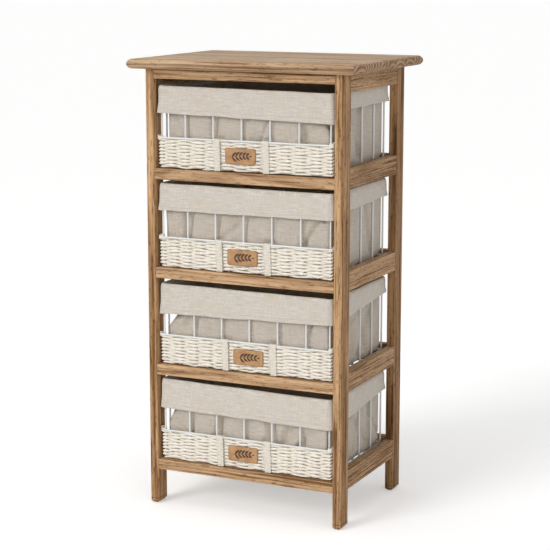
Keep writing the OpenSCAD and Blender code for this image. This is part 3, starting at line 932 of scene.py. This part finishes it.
def tube_faces(tube, first):
    """Quads round a tube and one flat face at each end. Its grid of points is numbered from first."""
    count, sides = tube.shape[:2]
    start = first + np.arange(sides)[None]
    return [grid_quads(count, sides, close_columns=True, first=first), start[:, ::-1],
            start + (count - 1) * sides]


def join_grids(grids, faces_of):
    """The points and faces of several grids of points, numbered one after another."""
    sizes = [grid.shape[0] * grid.shape[1] for grid in grids]
    faces = []
    for grid, first in zip(grids, np.cumsum([0] + sizes)):
        faces += faces_of(grid, first)
    return np.concatenate([grid.reshape(-1, 3) for grid in grids]), faces


def tube_corners(tube):
    """UVs of the same faces: metres along the tube, and a share of a turn around it."""
    sides = tube.shape[1]
    cap = np.stack([np.zeros(sides), np.arange(sides) / sides], -1)
    side_marks = grid_corners(path_length(tube.mean(axis=1)), np.arange(sides + 1) / sides)[..., ::-1]
    return [side_marks, cap, cap]


def woven_rope(basket, draw):
    """The stakes' places and the rope's tube. Row r passes stake j in front where j + r is even and
    behind where it is odd: y = front - swing * cos(a), a = pi * (stakes passed + r). It spreads at the
    stakes and is rounder between them: half height row_step * (least + spread * cos(a)^2), and half
    thickness thin + (thick - thin) * sin(a)^2. Half circles round the corner wires join the rows."""
    wires = [-basket.corner_x, *basket.inner_wires, basket.corner_x]
    stakes = np.interp(np.arange(stake_gaps + 1) / 2, np.arange(len(wires)), wires)
    stakes[1:-1:2] += draw.uniform(-stake_shift, stake_shift, stake_gaps // 2)
    x = np.linspace(-basket.corner_x, basket.corner_x, 250)
    passed = np.interp(x, stakes, np.arange(stake_gaps + 1))
    along = x / wander_span
    near_corner = ease(np.abs(x), basket.corner_x - 0.012, basket.corner_x)
    swing_at = rope_swing + (turn_swing - rope_swing) * near_corner
    middle_at = basket.front + corner_wire_in * ease(np.abs(x), basket.corner_x - 0.016, basket.corner_x)
    turn = np.linspace(0, math.pi, 11)[1:-1]
    pieces = []
    for r in range(rope_rows):
        z = basket.base + band_foot + (r + 0.5) * row_step
        heading = 1 if r % 2 == 0 else -1
        rise = z + wander(along, draw, 9, row_wander) + draw.normal(0, 0.00012)
        weave = math.pi * (passed + r)
        y = middle_at - swing_at * np.cos(weave) + wander(along, draw, 20, swing_wander)
        spread = stake_spread if 0 < r < rope_rows - 1 else edge_row_spread
        at_stake = np.cos(weave)[::heading] ** 2
        half_height = row_half_height + spread * at_stake + wander(along, draw, 11, spread_wander)
        half_thickness = rope_thick + (rope_thin - rope_thick) * at_stake
        pieces.append(np.stack([x[::heading], y[::heading], rise[::heading],
                                row_step * half_height, half_thickness], -1))
        if r < rope_rows - 1:
            even = np.ones(len(turn))
            pieces.append(np.stack([heading * (basket.corner_x + turn_swing * np.sin(turn)),
                                    basket.corner_y - heading * turn_swing * np.cos(turn),
                                    z + row_step * turn / math.pi,
                                    turn_half_height * row_step * even, rope_thin * even], -1))
    rope = np.concatenate(pieces)
    return stakes, rope_tube(rope[:, :3], rope[:, 3:4], rope[:, 4:5])


def corner_coil(basket, side, draw):
    """A few turns of rope round a corner wire: a helix whose plane leans a little."""
    high = basket.base + draw.uniform(*coil_heads)
    turns = draw.uniform(*coil_turns)
    lean = draw.uniform(-coil_lean, coil_lean)
    t = np.linspace(0, 1, int(22 * turns))
    angle = 2 * math.pi * turns * t + 2.2
    low = basket.base + coil_foot
    path = np.stack([side * (basket.corner_x + coil_off) + coil_radius * np.cos(angle),
                     basket.corner_y - coil_off + coil_radius * np.sin(angle),
                     low + (high - low) * t + lean * np.cos(angle)], -1)
    return rope_tube(path, 0.0013, 0.0011)


def paper_rope_look(tree):
    """Cream paper rope: two plies that twist round each other, fine fibres and painted shade in the hollows
    between the plies.
    """
    along = add(tree, "UVMap", uv_map="cut")
    x, y, _ = axes(along)
    ply = calc("SINE", (x / rope_twist + y) * (4 * math.pi))
    blotch = stretched_noise(object_place(tree), (130.0, 130.0, 420.0), 3.0)
    colour = colour_mix(smooth_step(blotch, 0.35, 0.7), rgb(244, 239, 230), rgb(229, 221, 206))
    # Painted shade darkens the hollows between the plies.
    painted_ply_shade = 1 - smooth_step(ply, -1.0, -0.55)
    height = stretched_noise(along, (900.0, 9.0, 1.0)) * 0.5 + ply * 0.5
    return {"Base Color": colour_mix(painted_ply_shade * 0.35, colour, rgb(200, 187, 166)), "Roughness": 0.8,
            "Normal": bump_normal(height, 0.0004, 0.7), "Specular IOR Level": 0.25}


def make_band(k, material):
    """The rope's rows, the stakes between the wires and a coil at each end, as one piece."""
    basket = baskets[k]
    stakes, rope = woven_rope(basket, np.random.default_rng(90 + k))
    tubes = [rope]
    for x in stakes[1::2]:
        tubes.append(stake_tube(x, basket.front, basket.base + band_foot, basket.base + band_head))
    draw = np.random.default_rng(110 + k)
    tubes += [corner_coil(basket, side, draw) for side in (-1, 1)]
    points, faces = join_grids(tubes, tube_faces)
    corners = [block for tube in tubes for block in tube_corners(tube)]
    band = make_piece(f"rope_band_{k}", points, faces, material, corners)
    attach(band, f"drawer_{k}")
    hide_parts(f"wicker_band_{k}")


paper_rope = make_material("cream_paper_rope", paper_rope_look)
for k in levels:
    make_band(k, paper_rope)


# Webbing straps
# Two strips of ribbed off-white cotton webbing, about 12 mm wide, go round each band and over the
# wire above it, and their ends are sewn together behind. They narrow and lean a little downwards.
band_wire_rise = 0.0505
strap_top_half_width = 0.00620
strap_foot_half_width = 0.00535
strap_half_thickness = 0.0005
strap_lean = 0.0026
strap_length = 0.053
strap_front = 0.0026
strap_behind = 0.0037
strap_foot_bend = 0.0027
strap_head_bend = 0.0455
strap_bend = 0.0020
strap_over_wire = 0.0023
rib_pitch = 0.0010


def arc(centre, radius, start, end, count):
    """Points on a circle's arc in the plane of Y and Z, angles in degrees from +Y towards +Z."""
    angle = np.radians(np.linspace(start, end, count))
    return np.stack([centre[0] + radius * np.cos(angle), centre[1] + radius * np.sin(angle)], -1)


def strap_loop(basket):
    """The strip's middle line: up the front, over the band's wire, down behind the band and under
    it, as four arcs with straight runs between them, taken at even steps."""
    wire_y = basket.front - strap_front
    behind_y = basket.front + strap_behind
    line = np.concatenate([arc((wire_y, band_wire_rise), strap_over_wire, 180, 40, 14),
                           arc((behind_y, strap_head_bend), strap_bend, 40, 0, 6),
                           arc((behind_y, strap_foot_bend), strap_bend, 0, -90, 8),
                           arc((wire_y - 0.0003, strap_foot_bend), strap_bend, -90, -180, 8)])
    line = np.concatenate([line, line[:1]])
    length = path_length(line)
    even = np.linspace(0, length[-1], 151)
    loop = np.stack([np.interp(even, length, line[:, axis]) for axis in (0, 1)], -1)[:-1]
    return loop + (0, basket.base), even


def webbing_look(tree):
    """Cotton webbing: ribs along the strip come from its mesh, cross threads and slubs from here."""
    height, slub = threads(add(tree, "UVMap", uv_map="cut"), rib_pitch)
    colour = colour_mix(smooth_step(slub, 0.35, 0.65), rgb(234, 228, 217), rgb(208, 200, 186))
    return {"Base Color": colour, "Roughness": 0.85, "Normal": bump_normal(height, 0.0004, 0.8),
            "Sheen Weight": 0.1, "Specular IOR Level": 0.2}


def make_straps(k, material):
    """Both loops of one basket. The strip's section is a flat rounded bar with two broad ribs on each
    face: half thickness * (1 - 0.3 cos(2 pi * share across)), pulled in to nothing at its edges."""
    basket = baskets[k]
    loop, even = strap_loop(basket)
    ahead = unit(np.roll(loop, -1, axis=0) - np.roll(loop, 1, axis=0))
    out = np.stack([np.zeros(len(loop)), -ahead[:, 1], ahead[:, 0]], -1)
    share = np.sin(np.linspace(-math.pi / 2, math.pi / 2, 27))
    rib = strap_half_thickness * (1 - 0.3 * np.cos(2 * math.pi * share))
    rib = rib * np.sqrt(np.clip(1 - share**10, 0, 1))
    profile_across = np.concatenate([share, share[-2:0:-1]]) * strap_top_half_width
    profile_out = np.concatenate([rib, -rib[-2:0:-1]])
    down = 1 - (loop[:, 1] - basket.base) / strap_length
    narrowing = 1 + down * (strap_foot_half_width / strap_top_half_width - 1)
    lean = strap_lean * down * np.clip(-out[:, 1], 0, 1)
    strips = []
    for middle in basket.straps:
        path = np.stack([middle + lean, loop[:, 0], loop[:, 1]], -1)
        strips.append(carry(path, (1, 0, 0), out, narrowing[:, None] * profile_across, profile_out))
    points, faces = join_grids(strips, lambda strip, first: [grid_quads(*strip.shape[:2], True, True, first)])
    corners = [grid_corners(even, np.append(profile_across, profile_across[0]))] * len(strips)
    straps = make_piece(f"webbing_straps_{k}", points, faces, material, corners)
    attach(straps, f"drawer_{k}")
    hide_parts(f"straps_{k}")


cotton_webbing = make_material("cotton_webbing", webbing_look)
for k in levels:
    make_straps(k, cotton_webbing)


# Leather tags
# A die-cut piece of tan leather, 54 x 26 mm and 1.8 mm thick, glued flat to the middle of each
# band. Its face carries a small pressed leaf sprig in dark brown.
tag_half = (0.027, 0.013)
tag_bend = 0.003
tag_thickness = 0.0018
tag_crown = 1.1 * tag_thickness
stem_foot = (-0.0205, -0.0022)
stem_tip = (0.0170, 0.0006)
stem_half_width = 0.00038
stem_bow = 0.0018
end_leaf = (0.0045, 0.0008)
end_leaf_half_width = 0.0011
end_leaf_bow = 0.0002
leaf_pairs = 5
first_pair = 0.16
pair_step = 0.17
leaf_reach = 0.0104
leaf_shrink = 0.0009
leaf_lean = (0.80, 0.72)
leaf_half_width = 0.0018
leaf_bow = 0.0007


def leather_look(tree):
    """Tan leather: pebbled grain, cloudy colour and a burnished darker rim. The tag's UVs hold a
    share of a turn round its outline, and how near its edge a point is."""
    nearness = axes(add(tree, "UVMap", uv_map="cut"))[1]
    place = object_place(tree)
    cloud = stretched_noise(place, 70.0, 4.0, 0.6)
    pebble = cell_distance(place, 1100.0)
    colour = colour_mix(smooth_step(cloud, 0.3, 0.7), rgb(188, 145, 100), rgb(160, 117, 75))
    colour = colour_mix(smooth_step(nearness, 0.93, 1.0) * 0.6, colour, rgb(112, 76, 46))
    return {"Base Color": colour, "Roughness": pebble * 0.2 + 0.42,
            "Normal": bump_normal(cloud * 0.6 + pebble, 0.00025, 0.5)}


def pressed_ink_look(tree):
    """Dark brown pressed into the leather, a little worn."""
    worn = stretched_noise(object_place(tree), 500.0, 3.0)
    return {"Base Color": colour_mix(smooth_step(worn, 0.4, 0.75), rgb(58, 38, 26), rgb(86, 58, 40)),
            "Roughness": 0.6, "Normal": bump_normal(worn, 0.0001, 0.5)}


def make_tag(k, material):
    """Rings of one rounded outline from the back's middle, round the edge and in to the front's
    middle. A ring is the outline shrunk by its size and set in by its inset; edges wander a little.
    Gives the middle of the tag's face: its X and Z, and its Y."""
    share_x, share_z, out_x, out_z = plan_loop(40, 20, 6)
    columns = len(share_x)
    turn = np.linspace(0, 1, columns + 1)
    lumps = wander(turn[:-1], np.random.default_rng(130 + k), 6, 0.0003) * np.sin(math.pi * turn[:-1]) ** 0.5
    low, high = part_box(f"tag_{k}")
    middle_x = (low.x + high.x) / 2
    middle_z = (low.z + high.z) / 2
    size = np.array([0.3, 0.7, 1, 1, 1, 1, 1, 1, 0.85, 0.6, 0.3])[:, None]
    inset = np.array([6, 6, 6, 1, 0, 0, 3, 8, 8, 8, 8])[:, None] * 0.0001
    depth = np.array([0, 0, 0, 0.15, 0.35, 0.7, 0.94, 1.0, 1.04, 1.08, 1.1]) * tag_thickness
    nearness = [0, 0, 1, 1, 1, 1, 1, 0.96, 0.8, 0.5, 0.2]
    x = size * (share_x * (tag_half[0] - inset - tag_bend) + out_x * (tag_bend + lumps))
    z = size * (share_z * (tag_half[1] - inset - tag_bend) + out_z * (tag_bend + lumps))
    y = high.y - np.repeat(depth[:, None], columns, axis=1)
    rings = np.stack([middle_x + x, y, middle_z + z], -1).reshape(-1, 3)
    poles = np.array([[middle_x, high.y, middle_z], [middle_x, high.y - tag_crown, middle_z]])
    last = 2 + (len(size) - 1) * columns
    faces = [fan_faces(0, 2, columns), fan_faces(1, last, columns)[:, [0, 2, 1]],
             grid_quads(len(size), columns, close_columns=True, first=2)]
    corners = [np.zeros((2 * columns, 3, 2)), grid_corners(nearness, turn)]
    tag = make_piece(f"leather_tag_{k}", np.concatenate([poles, rings]), faces, material, corners)
    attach(tag, f"drawer_{k}")
    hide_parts(f"tag_{k}")
    return np.array([middle_x, middle_z]), high.y - tag_crown


def leaf_points(root, tip, half_width, bow, face_y, lift=0.00016):
    """A leaf or stem as a flat closed blade from root to tip in X and Z, bowed sideways: half width =
    w * sin(pi t)^0.7, with an oval section that stands lift proud of the leather."""
    t = np.linspace(0, 1, 17)
    ahead = unit(tip - root)
    sideways = np.array([-ahead[1], ahead[0]])
    line = root + t[:, None] * (tip - root) + sideways * (bow * np.sin(math.pi * t))[:, None]
    width = half_width * np.clip(np.sin(math.pi * t), 0.02, 1) ** 0.7
    path = np.stack([line[:, 0], np.full_like(t, face_y), line[:, 1]], -1)
    angle = circle_angles(8)
    return carry(path, (sideways[0], 0, sideways[1]), (0, -1, 0), width[:, None] * np.cos(angle),
                 lift * np.sin(angle))


def make_sprig(k, material, middle, face_y):
    """A bowed stem with a leaf at its tip and five pairs of leaves that get smaller towards it."""
    foot = middle + stem_foot
    tip = middle + stem_tip
    blades = [leaf_points(foot, tip, stem_half_width, stem_bow, face_y),
              leaf_points(tip, tip + end_leaf, end_leaf_half_width, end_leaf_bow, face_y)]
    for pair in range(leaf_pairs):
        t = first_pair + pair_step * pair
        joint = foot + t * (tip - foot) + (0, stem_bow * math.sin(math.pi * t))
        for side in (-1, 1):
            leaf = (leaf_reach - leaf_shrink * pair) * np.array([leaf_lean[0], side * leaf_lean[1]])
            blades.append(leaf_points(joint, joint + leaf, leaf_half_width, side * leaf_bow, face_y))
    sprig = make_piece(f"leaf_sprig_{k}", *join_grids(blades, tube_faces), material)
    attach(sprig, f"drawer_{k}")


tan_leather = make_material("tan_leather", leather_look)
pressed_brown = make_material("pressed_brown", pressed_ink_look)
for k in levels:
    make_sprig(k, pressed_brown, *make_tag(k, tan_leather))
